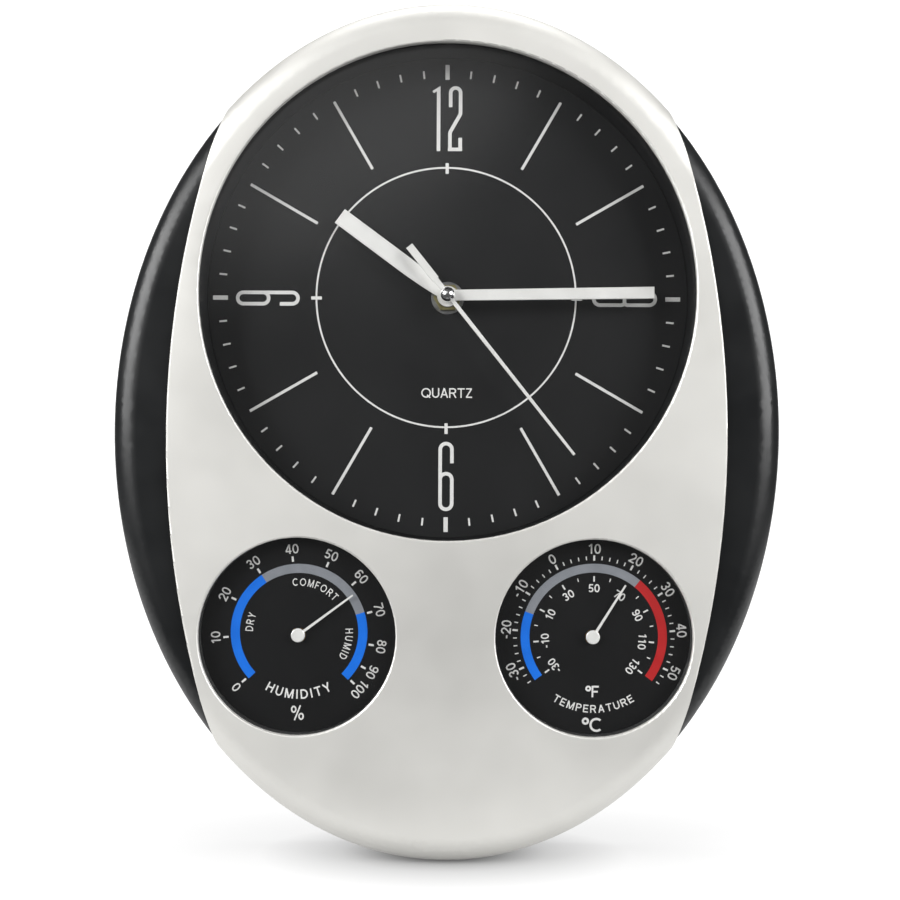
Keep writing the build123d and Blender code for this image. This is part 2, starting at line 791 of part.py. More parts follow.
with BuildPart() as coil_winding:
    winding_left = bobbin_left + bobbin_flange + press_gap
    with BuildSketch(side_plane(in_movement(winding_left, core_rise), core_height)):
        Circle(winding_radius)
        Circle(barrel_radius + press_gap, mode=Mode.SUBTRACT)
    extrude(amount=bobbin_length - 2 * bobbin_flange - 2 * press_gap)
save(coil_winding, "coil_winding")

# Circuit board with its driver chip and crystal
with BuildPart() as circuit_board:
    with BuildSketch(face_plane(board_layer[0], in_movement(*board_spot))):
        Rectangle(board_width, board_height)
    extrude(amount=board_layer[1] - board_layer[0])
save(circuit_board, "circuit_board")

with BuildPart() as driver_chip:
    chip_spot = in_movement(board_spot[0], board_spot[1] - chip_radius)
    disc(board_layer[0] - chip_thick, chip_thick, chip_radius, chip_spot)
    fillet(driver_chip.faces().sort_by(Axis.Y)[-1].edges(), chip_round)
save(driver_chip, "driver_chip")

crystal_spot = in_movement(board_spot[0], board_spot[1] + crystal_rise)
crystal_plane = Plane(
    origin=(crystal_spot[0], crystal_radius - board_layer[0], case_z + crystal_spot[1]),
    z_dir=(0, 0, 1),
)
with BuildPart() as quartz_crystal:
    with BuildSketch(crystal_plane):
        Circle(crystal_radius)
    extrude(amount=crystal_length)
    fillet(quartz_crystal.faces().sort_by(Axis.Z)[-1].edges(), crystal_round)
save(quartz_crystal, "quartz_crystal")

# Battery and its contacts
minus_end = (battery_nub - battery_length) / 2 - battery_nub
with BuildPart() as battery:
    with BuildSketch(side_plane(in_movement(minus_end, -battery_drop), battery_height)):
        Circle(battery_radius)
    extrude(amount=battery_length)
    fillet(battery.edges().filter_by(GeomType.CIRCLE), battery_edge)
    with BuildSketch(side_plane(in_movement(minus_end + battery_length, -battery_drop), battery_height)):
        Circle(battery_nub_radius)
    extrude(amount=battery_nub)
save(battery, "battery")


def contact_strip(left):
    # An upright strip at the end of the bay, with a tab that passes into the wheel chamber
    with BuildSketch(side_plane(in_movement(left, -battery_drop), battery_height)) as outline:
        Rectangle(contact_width, contact_width)
        with Locations(((contact_width - contact_tab) / 2, -contact_width / 2)):
            Rectangle(contact_tab, contact_width)
    extrude(outline.sketch, amount=contact_thick)


with BuildPart() as battery_contact_plus:
    contact_strip(bay_length / 2 - contact_thick)
save(battery_contact_plus, "battery_contact_plus")

with BuildPart() as battery_contact_minus:
    contact_strip(-bay_length / 2)
    leaf_left = -bay_length / 2 + contact_thick / 2
    with BuildSketch(face_plane(battery_height - leaf_width / 2, in_movement(0, -battery_drop))):
        with BuildLine():
            leaf = Polyline(
                (leaf_left, -contact_width / 2),
                (minus_end - contact_gap - contact_thick / 2, 0),
                (leaf_left, contact_width / 2),
            )
        trace(leaf, contact_thick)
    extrude(amount=leaf_width)
save(battery_contact_minus, "battery_contact_minus")


# Hands
def blade(height, thick, turn, outline_points):
    # A symmetric strip along the hand's own up direction, from the list of its right-hand corners
    left = [(-right, up) for right, up in reversed(outline_points)]
    with BuildSketch(face_plane(height, hub, turn)) as outline:
        with BuildLine():
            Polyline(*outline_points, *left, close=True)
        make_face()
    extrude(outline.sketch, amount=thick)


def hub_and_sleeve(height, thick, hub_radius, bore):
    disc(height, thick, hub_radius)
    arbor(height - sleeve_length, height, bore + sleeve_wall, hub)
    disc(height - sleeve_length, case_depth, bore, mode=Mode.SUBTRACT)


with BuildPart() as hour_hand:
    with BuildSketch(face_plane(hour_hand_height, hub, hour_turn)):
        with BuildLine():
            Line((hour_width / 2, hour_length), (hour_width / 2, hour_taper))
            TangentArc((hour_width / 2, hour_taper), (hour_neck_width / 2, 0), tangent=(0, -1))
            Line((hour_neck_width / 2, 0), (0, 0))
            Line((0, 0), (0, hour_length))
            Line((0, hour_length), (hour_width / 2, hour_length))
        make_face()
        mirror(about=Plane.YZ)
    extrude(amount=hand_thick)
    hub_and_sleeve(hour_hand_height, hand_thick, hour_hub_radius, hour_pipe_radius + press_gap)
    chamfer(hour_hand.faces().sort_by(Axis.Y)[0].outer_wire().edges(), hand_bevel)
save(hour_hand, "hour_hand")

with BuildPart() as minute_hand:
    blade(minute_hand_height, hand_thick, minute_turn,
          [(minute_neck_width / 2, 0), (minute_width / 2, minute_length)])
    hub_and_sleeve(minute_hand_height, hand_thick, minute_hub_radius, minute_pipe_radius + press_gap)
    chamfer(minute_hand.faces().sort_by(Axis.Y)[0].outer_wire().edges(), hand_bevel)
save(minute_hand, "minute_hand")

with BuildPart() as second_hand:
    blade(second_hand_height, second_thick, second_turn, [
        (tail_width / 2, -tail_length),
        (tail_width / 2, -tail_neck_length),
        (tail_neck_width / 2, -tail_neck_length),
        (tail_neck_width / 2, 0),
        (second_neck_width / 2, second_hub_radius),
        (second_width / 2, second_length),
    ])
    hub_and_sleeve(second_hand_height, second_thick, second_hub_radius, second_arbor_radius + press_gap)
    chamfer(second_hand.faces().sort_by(Axis.Y)[0].outer_wire().edges(), hand_bevel)
save(second_hand, "second_hand")

cap_back = second_hand_height + second_thick
with BuildPart() as second_hand_cap:
    with Locations((hub[0], -(cap_back + cap_rise), case_z + hub[1])):
        Sphere(cap_radius)
    split(bisect_by=face_plane(cap_back), keep=Keep.TOP)
    disc(cap_back, second_tip - cap_back + pivot_play, second_arbor_radius + press_gap, mode=Mode.SUBTRACT)
save(second_hand_cap, "second_hand_cap")


# Weather gauges: the same works in each, with its own pointer
def spiral():
    # Half circles about two centres, each half a pitch wider than the last
    step = coil_pitch / 2
    radius = coil_inner
    centre = 0
    side = 1
    lines = []
    for _ in range(coil_half_turns):
        start = (centre + side * radius, 0)
        end = (centre - side * radius, 0)
        middle = (centre, side * radius)
        lines.append((start, middle, end))
        centre = centre + side * step
        radius = radius + step
        side = -side
    return lines


def weather_gauge(name, spot, turn, length):
    with BuildPart() as cup:
        disc(cup_back, seat_height - cup_back, cup_radius, spot)
        disc(seat_height - flange_thick, flange_thick, flange_radius, spot)
        disc(gauge_lens_back, gauge_lens_thick, gauge_lens_radius + cup_gap, spot, mode=Mode.SUBTRACT)
        disc(gauge_dial_height, case_depth, gauge_window, spot, mode=Mode.SUBTRACT)
        disc(cup_back + cup_floor, case_depth, gauge_window - gauge_ledge, spot, mode=Mode.SUBTRACT)
        inner_floor = cup_back + cup_floor
        disc(inner_floor, cup_boss_tall, cup_boss_radius, spot)
        for side in (-1, 1):
            post = (spot[0] + side * (bridge_length - bridge_width) / 2, spot[1])
            disc(inner_floor, bridge_height - inner_floor, bridge_post_radius, post)
        lines = spiral()
        with BuildSketch(face_plane(inner_floor, spot)) as anchor:
            with Locations((lines[-1][2][0], -anchor_width / 2)):
                Rectangle(anchor_width, anchor_width)
        extrude(anchor.sketch, amount=coil_height + coil_tall - inner_floor)
        disc(cup_back + cup_floor / 2, case_depth, staff_radius + pivot_gap, spot, mode=Mode.SUBTRACT)
        with BuildSketch(face_plane(cup_back, spot)) as vents:
            with PolarLocations(vent_ring_radius, vent_count):
                Circle(vent_radius)
        extrude(vents.sketch, amount=cup_floor, mode=Mode.SUBTRACT)
    save(cup, f"{name}_cup")

    with BuildPart() as dial:
        disc(gauge_dial_height, gauge_dial_thick, gauge_window - cup_gap, spot)
        disc(gauge_dial_height, gauge_dial_thick, dial_hole_radius, spot, mode=Mode.SUBTRACT)
    save(dial, f"{name}_dial")

    with BuildPart() as lens:
        disc(gauge_lens_back, gauge_lens_thick, gauge_lens_radius, spot)
    save(lens, f"{name}_lens")

    with BuildPart() as bridge:
        with BuildSketch(face_plane(bridge_height, spot)) as outline:
            SlotOverall(bridge_length, bridge_width)
            Circle(staff_radius + pivot_gap, mode=Mode.SUBTRACT)
        extrude(outline.sketch, amount=bridge_thick)
    save(bridge, f"{name}_bridge")

    with BuildPart() as coil:
        with BuildSketch(face_plane(coil_height, spot)) as outline:
            with BuildLine() as path:
                for start, middle, end in lines:
                    ThreePointArc(start, middle, end)
            trace(path.edges(), coil_strip)
        extrude(outline.sketch, amount=coil_tall)
    save(coil, f"{name}_coil")

    with BuildPart() as staff:
        staff_back = cup_back + cup_floor / 2 + pivot_play
        disc(staff_back, pointer_height + pivot_play - staff_back, staff_radius, spot)
        disc(coil_height, coil_tall, staff_collet_radius, spot)
    save(staff, f"{name}_staff")

    with BuildPart() as pointer:
        disc(pointer_height, pointer_hub_thick, pointer_hub_radius, spot)
        fillet(pointer.faces().sort_by(Axis.Y)[0].edges(), pointer_hub_edge)
        with BuildSketch(face_plane(pointer_height, spot, turn)) as outline:
            with BuildLine():
                Polyline(
                    (-pointer_neck_width / 2, 0),
                    (-pointer_width / 2, length),
                    (pointer_width / 2, length),
                    (pointer_neck_width / 2, 0),
                    close=True,
                )
            make_face()
        extrude(outline.sketch, amount=pointer_thick)
        disc(pointer_height, pointer_hub_thick / 2, staff_radius + press_gap, spot, mode=Mode.SUBTRACT)
    save(pointer, f"{name}_pointer")


weather_gauge("humidity", gauge_spots["humidity"], humidity_turn, humidity_length)
weather_gauge("temperature", gauge_spots["temperature"], temperature_turn, temperature_length)
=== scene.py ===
import bpy
import bmesh
from math import atan2, cos, degrees, pi, radians, sin
from mathutils import Matrix, Vector


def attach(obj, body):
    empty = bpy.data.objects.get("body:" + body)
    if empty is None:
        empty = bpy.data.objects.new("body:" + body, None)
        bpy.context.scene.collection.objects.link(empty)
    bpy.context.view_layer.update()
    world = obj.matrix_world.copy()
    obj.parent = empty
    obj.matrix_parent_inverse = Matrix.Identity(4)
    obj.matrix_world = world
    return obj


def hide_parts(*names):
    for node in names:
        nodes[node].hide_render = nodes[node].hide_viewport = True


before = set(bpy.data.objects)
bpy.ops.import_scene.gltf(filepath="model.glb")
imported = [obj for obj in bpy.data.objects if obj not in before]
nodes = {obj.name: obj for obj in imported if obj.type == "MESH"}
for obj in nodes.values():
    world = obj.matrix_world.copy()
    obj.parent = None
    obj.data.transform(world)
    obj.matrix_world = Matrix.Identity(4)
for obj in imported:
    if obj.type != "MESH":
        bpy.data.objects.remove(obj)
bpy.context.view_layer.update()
print("frame loaded:", len(nodes), "nodes")

mm = 0.001
mergeMm = 0.002  # points nearer than this are one
caseZ = -140  # the middle of the case below the hanger hole, mm
hub = (0, 54.8)  # right and up from the middle of the case
gaugeSpots = {"humidity": (-58.3, -80.8), "temperature": (58.3, -80.8)}
dialFace = 21.5  # heights above the wall
gaugeFace = 33.0


# small helpers
def linear(hexText):
    values = [int(hexText[i:i + 2], 16) / 255 for i in (1, 3, 5)]
    return tuple(v / 12.92 if v <= 0.04045 else ((v + 0.055) / 1.055) ** 2.4 for v in values) + (1.0,)


def addNode(material, kind, settings=None, links=None):
    node = material.node_tree.nodes.new(kind)
    for name, value in (settings or {}).items():
        if isinstance(name, str) and hasattr(node, name):
            setattr(node, name, value)
        else:
            node.inputs[name].default_value = value
    for name, source in (links or {}).items():
        material.node_tree.links.new(source, node.inputs[name])
    return node


def moved(spot, shift):
    return (spot[0] + shift[0], spot[1] + shift[1])


def shifted(spot, lift=0.0):
    # moves right and up by spot, and by lift towards the viewer
    return Matrix.Translation((*spot, lift))


def facePlace(height, spot, turn):
    # right, up and towards the viewer in mm, turned clockwise about the spot
    base = Matrix(((1, 0, 0, spot[0]), (0, 0, -1, -height), (0, 1, 0, caseZ + spot[1]), (0, 0, 0, 1)))
    return Matrix.Scale(mm, 4) @ base @ Matrix.Rotation(-radians(turn), 4, "Z")


def vertsOf(geom):
    return [item for item in geom if isinstance(item, bmesh.types.BMVert)]


def farEdge(geom):
    # the edge on which an extruded or spun edge ends
    verts = set(vertsOf(geom))
    return next(item for item in geom if isinstance(item, bmesh.types.BMEdge) and set(item.verts) == verts)


def addPiece(name, bm, material):
    # makes a bmesh an object at the origin
    mesh = bpy.data.meshes.new(name)
    bm.to_mesh(mesh)
    bm.free()
    mesh.materials.append(material)
    piece = bpy.data.objects.new(name, mesh)
    bpy.context.scene.collection.objects.link(piece)
    return piece


def smoothCopy(node, name, material, body, smoothAngle):
    # the same shape as a CAD node, merged and shaded smooth across its roundings
    bm = bmesh.new()
    bm.from_mesh(nodes[node].data)
    bmesh.ops.remove_doubles(bm, verts=bm.verts, dist=mergeMm * mm)
    bmesh.ops.dissolve_degenerate(bm, edges=bm.edges, dist=mergeMm / 2 * mm)
    for face in bm.faces:
        face.smooth = True
    for edge in bm.edges:
        edge.smooth = len(edge.link_faces) == 2 and edge.calc_face_angle(0) < radians(smoothAngle)
    piece = addPiece(name, bm, material)
    weighted = piece.modifiers.new("evenNormals", "WEIGHTED_NORMAL")
    weighted.mode = "FACE_AREA"
    weighted.weight = 80
    weighted.keep_sharp = True
    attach(piece, body)
    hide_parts(node)


# materials
noiseLow, noiseHigh = 0.3, 0.7  # nearly all of a noise texture lies between these
rimStart, rimEnd = 0.55, 0.85  # how far a surface has turned away where its mirror begins and ends to fade


def surface(name, pale, deep, roughness, metallic=0.0, ior=1.5, mottleMm=20, grainMm=0.5, grainDepthMm=0.005,
            roughSpread=0.05, coat=0.0, specular=0.5, rimSpecular=None):
    # two close tones mottled together, an uneven gloss and a fine relief
    material = bpy.data.materials.new(name)
    material.use_nodes = True
    material.node_tree.nodes.clear()
    coords = addNode(material, "ShaderNodeTexCoord")
    mottle = addNode(material, "ShaderNodeTexNoise",
                     {"Scale": 1000 / mottleMm, "Detail": 3.0, "Roughness": 0.6},
                     {"Vector": coords.outputs["Object"]})
    tones = addNode(material, "ShaderNodeValToRGB", {}, {"Fac": mottle.outputs["Fac"]})
    for element, place, tone in zip(tones.color_ramp.elements, (noiseLow, noiseHigh), (deep, pale)):
        element.position = place
        element.color = linear(tone)
    grain = addNode(material, "ShaderNodeTexNoise",
                    {"Scale": 1000 / grainMm, "Detail": 2.0, "Roughness": 0.5},
                    {"Vector": coords.outputs["Object"]})
    gloss = addNode(material, "ShaderNodeMapRange",
                    {"From Min": noiseLow, "From Max": noiseHigh,
                     "To Min": max(roughness - roughSpread, 0.02), "To Max": roughness + roughSpread},
                    {"Value": mottle.outputs["Fac"]})
    relief = addNode(material, "ShaderNodeBump", {"Strength": 1.0, "Distance": grainDepthMm * mm},
                     {"Height": grain.outputs["Fac"]})
    shader = addNode(material, "ShaderNodeBsdfPrincipled",
                     {"Metallic": metallic, "Coat Weight": coat, "Coat Roughness": 0.08},
                     {"Base Color": tones.outputs["Color"], "Roughness": gloss.outputs["Result"],
                      "Normal": relief.outputs["Normal"]})
    if metallic < 0.9:
        shader.inputs["IOR"].default_value = ior
        shader.inputs["Specular IOR Level"].default_value = specular
    if rimSpecular is not None:
        # the fine texture hides the mirror that smooth plastic would show where it turns away
        rim = addNode(material, "ShaderNodeLayerWeight", {"Blend": 0.5})
        fade = addNode(material, "ShaderNodeMapRange",
                       {"From Min": rimStart, "From Max": rimEnd, "To Min": specular, "To Max": rimSpecular},
                       {"Value": rim.outputs["Facing"]})
        material.node_tree.links.new(fade.outputs["Result"], shader.inputs["Specular IOR Level"])
    addNode(material, "ShaderNodeOutputMaterial", {}, {"Surface": shader.outputs["BSDF"]})
    return material


# Real grains here are 0.05 to 0.1 mm. They are drawn at 0.15 to 0.5 mm, so that they show in the render.

# moulded ABS, spark-textured tool: deep black with a soft, slightly uneven gloss
caseAbs = surface("mouldedBlackAbs", "#151617", "#121314", 0.33, ior=1.53, mottleMm=35, grainMm=0.35,
                  grainDepthMm=0.004, specular=0.24, rimSpecular=0.04)
# silver metallic lacquer sprayed on ABS: pale and satin, with fine flake that catches the light
bezelLacquer = surface("sprayedSilverLacquer", "#d0cfcb", "#c9c8c4", 0.53, metallic=0.70, mottleMm=60,
                       grainMm=0.45, grainDepthMm=0.006, roughSpread=0.03)
# screen ink on a flat metal dial: satin black, nearly even
dialInk = surface("satinBlackDialInk", "#131415", "#101112", 0.50, mottleMm=50, grainMm=0.4,
                  grainDepthMm=0.0012, specular=0.22)
# screen ink on a small moulded dial: deeper black
gaugeInk = surface("deepBlackDialInk", "#0c0d0e", "#0a0b0c", 0.50, mottleMm=30, grainMm=0.4,
                   grainDepthMm=0.002, specular=0.16)
# white screen ink: matt, a hair uneven where the screen's threads lay
printWhite = surface("whiteScreenInk", "#dcdcda", "#d2d2d0", 0.55, mottleMm=6, grainMm=0.3,
                     grainDepthMm=0.003)
# coloured screen inks: matt and nearly even
bandBlue = surface("blueScreenInk", "#0270e2", "#0268d4", 0.5, mottleMm=8, grainMm=0.3, grainDepthMm=0.003,
                   specular=0.3)
bandRed = surface("redScreenInk", "#b80f13", "#ac0c10", 0.5, mottleMm=8, grainMm=0.3, grainDepthMm=0.003)
bandGrey = surface("greyScreenInk", "#878b91", "#7c8086", 0.5, mottleMm=8, grainMm=0.3, grainDepthMm=0.003)
# stamped aluminium sprayed pale silver: bright, with a soft sheen
handLacquer = surface("sprayedPaleSilver", "#efefec", "#e6e6e3", 0.34, metallic=0.25, mottleMm=9, grainMm=0.3,
                      grainDepthMm=0.004)
# chromed steel ball, polished: a mirror
capChrome = surface("polishedChrome", "#f0f0f1", "#e8e8ea", 0.20, metallic=1.0, mottleMm=3, grainMm=0.4,
                    grainDepthMm=0.0005, roughSpread=0.01)
# turned brass: warm, with faint tool lines
nutBrass = surface("turnedBrass", "#c4bb88", "#a8a070", 0.38, metallic=1.0, mottleMm=2, grainMm=0.25,
                   grainDepthMm=0.004)
# rolled steel, zinc-plated: cool grey and a little cloudy
plateSteel = surface("zincPlatedSteel", "#b9babb", "#a5a6a8", 0.34, metallic=1.0, mottleMm=3, grainMm=0.3,
                     grainDepthMm=0.003)
# moulded ABS of the movement, eroded tool: matt and nearly black
movementAbs = surface("mattBlackAbs", "#1d1d1e", "#161617", 0.55, ior=1.53, mottleMm=12, grainMm=0.45,
                      grainDepthMm=0.010)
# moulded ABS of the gauge cups: dark grey and matt
cupAbs = surface("mouldedGreyAbs", "#303132", "#28292a", 0.5, ior=1.53, mottleMm=15, grainMm=0.45,
                 grainDepthMm=0.008)
# moulded acetal: milky white and waxy
acetal = surface("mouldedAcetal", "#e9e6dc", "#dfdbcf", 0.38, ior=1.48, mottleMm=5, grainMm=0.3,
                 grainDepthMm=0.003)
# brass, stamped and cut: yellow and bright
gearBrass = surface("cutBrass", "#d0ab62", "#bf9850", 0.28, metallic=1.0, mottleMm=2, grainMm=0.2,
                    grainDepthMm=0.002)
# moulded nitrile rubber: dull and nearly black
rubber = surface("mouldedRubber", "#202020", "#181818", 0.75, ior=1.52, mottleMm=4, grainMm=0.4,
                 grainDepthMm=0.01)
# sintered magnet: dark grey, grainy, half metallic
ferrite = surface("sinteredMagnet", "#3a3b3e", "#2d2e31", 0.5, metallic=0.6, mottleMm=1.5, grainMm=0.2,
                  grainDepthMm=0.004)
# enamelled copper wire, wound tight: reddish, with a relief as fine as its turns
winding = surface("enamelledCopper", "#b8683c", "#9a4f2b", 0.3, metallic=0.9, mottleMm=1.0, grainMm=0.15,
                  grainDepthMm=0.02)
# glass-fibre board under solder mask: green with a soft shine
boardGreen = surface("solderMaskBoard", "#1e5a34", "#184b2b", 0.35, mottleMm=4, grainMm=0.3,
                     grainDepthMm=0.003)
# cast epoxy resin: a glossy black drop
chipResin = surface("castBlackResin", "#161616", "#101010", 0.2, mottleMm=3, grainMm=0.5, grainDepthMm=0.006)
# drawn steel can, nickel-plated: clean and bright
crystalCan = surface("nickelPlatedCan", "#c9c8c4", "#bab9b5", 0.22, metallic=1.0, mottleMm=2, grainMm=0.3,
                     grainDepthMm=0.001)
# plain printed wrap on a steel cell, varnished: green under a clear coat
batteryWrap = surface("printedSteelWrap", "#3f6f4c", "#376443", 0.3, mottleMm=15, grainMm=0.4,
                      grainDepthMm=0.002, coat=0.4)

lensLook = {"tint": "#fcfcfc", "filmMm": 40, "haze": (0.15, 0.20), "mirror": 0.036}


def lensMaterial():
    # float glass, polished: clear, with a faint and slightly soft mirror that grows where it turns away
    material = bpy.data.materials.new("clearLens")
    material.use_nodes = True
    material.node_tree.nodes.clear()
    coords = addNode(material, "ShaderNodeTexCoord")
    film = addNode(material, "ShaderNodeTexNoise", {"Scale": 1000 / lensLook["filmMm"], "Detail": 2.0},
                   {"Vector": coords.outputs["Object"]})
    smooth, soft = lensLook["haze"]
    haze = addNode(material, "ShaderNodeMapRange",
                   {"From Min": noiseLow, "From Max": noiseHigh, "To Min": smooth, "To Max": soft},
                   {"Value": film.outputs["Fac"]})
    facing = addNode(material, "ShaderNodeLayerWeight", {"Blend": 0.5})
    steep = addNode(material, "ShaderNodeMath", {"operation": "POWER", 1: 5.0}, {0: facing.outputs["Facing"]})
    edge = addNode(material, "ShaderNodeMapRange", {"To Min": lensLook["mirror"], "To Max": 1.0},
                   {"Value": steep.outputs["Value"]})
    clear = addNode(material, "ShaderNodeBsdfTransparent", {"Color": linear(lensLook["tint"])})
    mirror = addNode(material, "ShaderNodeBsdfGlossy", {"Color": (1, 1, 1, 1)},
                     {"Roughness": haze.outputs["Result"]})
    both = addNode(material, "ShaderNodeMixShader", {},
                   {"Fac": edge.outputs["Result"], 1: clear.outputs["BSDF"], 2: mirror.outputs["BSDF"]})
    addNode(material, "ShaderNodeOutputMaterial", {}, {"Surface": both.outputs["Shader"]})
    return material


clearLens = lensMaterial()

nodeFinishes = {
    "rear_body": caseAbs, "front_bezel": bezelLacquer, "bezel_screws": plateSteel, "clock_lens": clearLens,
    "clock_dial": dialInk, "hour_hand": handLacquer, "minute_hand": handLacquer, "second_hand": handLacquer,
    "second_hand_cap": capChrome, "shaft_nut": nutBrass, "shaft_washer": plateSteel, "rubber_gasket": rubber,
    "movement_rear_case": movementAbs, "movement_front_cover": movementAbs, "train_plate": acetal,
    "stator": plateSteel, "coil_core": plateSteel, "coil_bobbin": acetal, "coil_winding": winding,
    "rotor_pinion": acetal, "rotor_magnet": ferrite, "fifth_wheel": acetal, "second_wheel": acetal,
    "third_wheel": acetal, "centre_wheel": gearBrass, "minute_pipe": gearBrass, "minute_work_wheel": acetal,
    "hour_wheel": acetal, "set_knob": acetal, "circuit_board": boardGreen, "driver_chip": chipResin,
    "quartz_crystal": crystalCan, "battery": batteryWrap, "battery_contact_plus": plateSteel,
    "battery_contact_minus": plateSteel,
}
for gauge in gaugeSpots:
    nodeFinishes.update({
        gauge + "_cup": cupAbs, gauge + "_dial": gaugeInk, gauge + "_lens": clearLens,
        gauge + "_bridge": gearBrass, gauge + "_coil": gearBrass, gauge + "_staff": plateSteel,
        gauge + "_pointer": handLacquer,
    })
for nodeName, material in nodeFinishes.items():
    node = nodes[nodeName]
    node.data.materials.clear()
    node.data.materials.append(material)
print("materials made:", len(bpy.data.materials))

# flat print: bars, arcs, pen strokes and letters in the plane of a dial, in mm
inkThick = 0.03
strokeStep = 0.002  # strokes that cross lie this far apart, so that they never share a plane
letterStep = 0.0015  # the same within a letter, as a share of its height
arcStep, bendStep = 1.5, 9  # degrees between the corners of an arc and of a bent stroke


def addBar(bm, right, up, width, height, turn=0.0, lift=0.0):
    # a bar whose middle lies at (right, up) before the whole is turned clockwise about the dial's middle
    place = (Matrix.Rotation(-radians(turn), 4, "Z") @ Matrix.Translation((right, up, lift))
             @ Matrix.Diagonal((width, height, 1, 1)))
    bmesh.ops.create_grid(bm, x_segments=1, y_segments=1, size=0.5, matrix=place)


def addMark(bm, mark, turn, lift=0.0):
    # a bar that points outward, given by its inner end, outer end and width
    inner, outer, width = mark
    addBar(bm, 0, (inner + outer) / 2, width, outer - inner, turn, lift)


def addArc(bm, inner, outer, start, end):
    # a part of a ring between two clockwise angles
    right, up = sin(radians(start)), cos(radians(start))
    low = bm.verts.new((inner * right, inner * up, 0))
    high = bm.verts.new((outer * right, outer * up, 0))
    span = abs(end - start)
    bmesh.ops.spin(bm, geom=[low, high, bm.edges.new((low, high))], cent=(0, 0, 0), axis=(0, 0, -1),
                   dvec=(0, 0, 0), angle=radians(end - start), steps=max(int(span / arcStep), 8),
                   use_merge=span >= 360, use_duplicate=False)


def addShape(bm, shape, place=None):
    # joins one stroke or ring to the rest, at its place
    if place is not None:
        bmesh.ops.transform(shape, matrix=place, verts=shape.verts)
    mesh = bpy.data.meshes.new("shape")
    shape.to_mesh(mesh)
    shape.free()
    bm.from_mesh(mesh)
    bpy.data.meshes.remove(mesh)


def penStroke(bm, start, heading, moves, width, place=None):
    # draws with a flat pen: ("go", length) and ("bend", radius, degrees clockwise)
    stroke = bmesh.new()
    spot = Vector((start[0], start[1], 0))
    along = Vector((sin(radians(heading)), cos(radians(heading)), 0))
    across = Vector((along.y, -along.x, 0))
    half = across * width / 2
    edge = stroke.edges.new((stroke.verts.new(spot - half), stroke.verts.new(spot + half)))
    for move in moves:
        if move[0] == "go":
            made = bmesh.ops.extrude_edge_only(stroke, edges=[edge])["geom"]
            bmesh.ops.translate(stroke, verts=vertsOf(made), vec=along * move[1])
            spot = spot + along * move[1]
        else:
            radius, angle = move[1:]
            centre = spot + across * (radius if angle > 0 else -radius)
            made = bmesh.ops.spin(stroke, geom=[edge.verts[0], edge.verts[1], edge], cent=centre,
                                  axis=(0, 0, -1), dvec=(0, 0, 0), angle=radians(angle),
                                  steps=max(int(abs(angle) / bendStep), 2), use_merge=False,
                                  use_duplicate=False)["geom_last"]
            turn = Matrix.Rotation(-radians(angle), 3, "Z")
            spot = centre + turn @ (spot - centre)
            along = turn @ along
            across = turn @ across
        edge = farEdge(made)
    bmesh.ops.remove_doubles(stroke, verts=stroke.verts, dist=width / 1000)
    addShape(bm, stroke, place)


def ovalMoves(across, up, small):
    # four arcs around an upright oval, from the middle of its left side
    large = (up * up - 2 * up * small + across * across) / (2 * (across - small))
    lean = degrees(atan2(up - small, large - across))
    return [("bend", large, lean), ("bend", small, 180 - 2 * lean), ("bend", large, 2 * lean),
            ("bend", small, 180 - 2 * lean), ("bend", large, lean)]


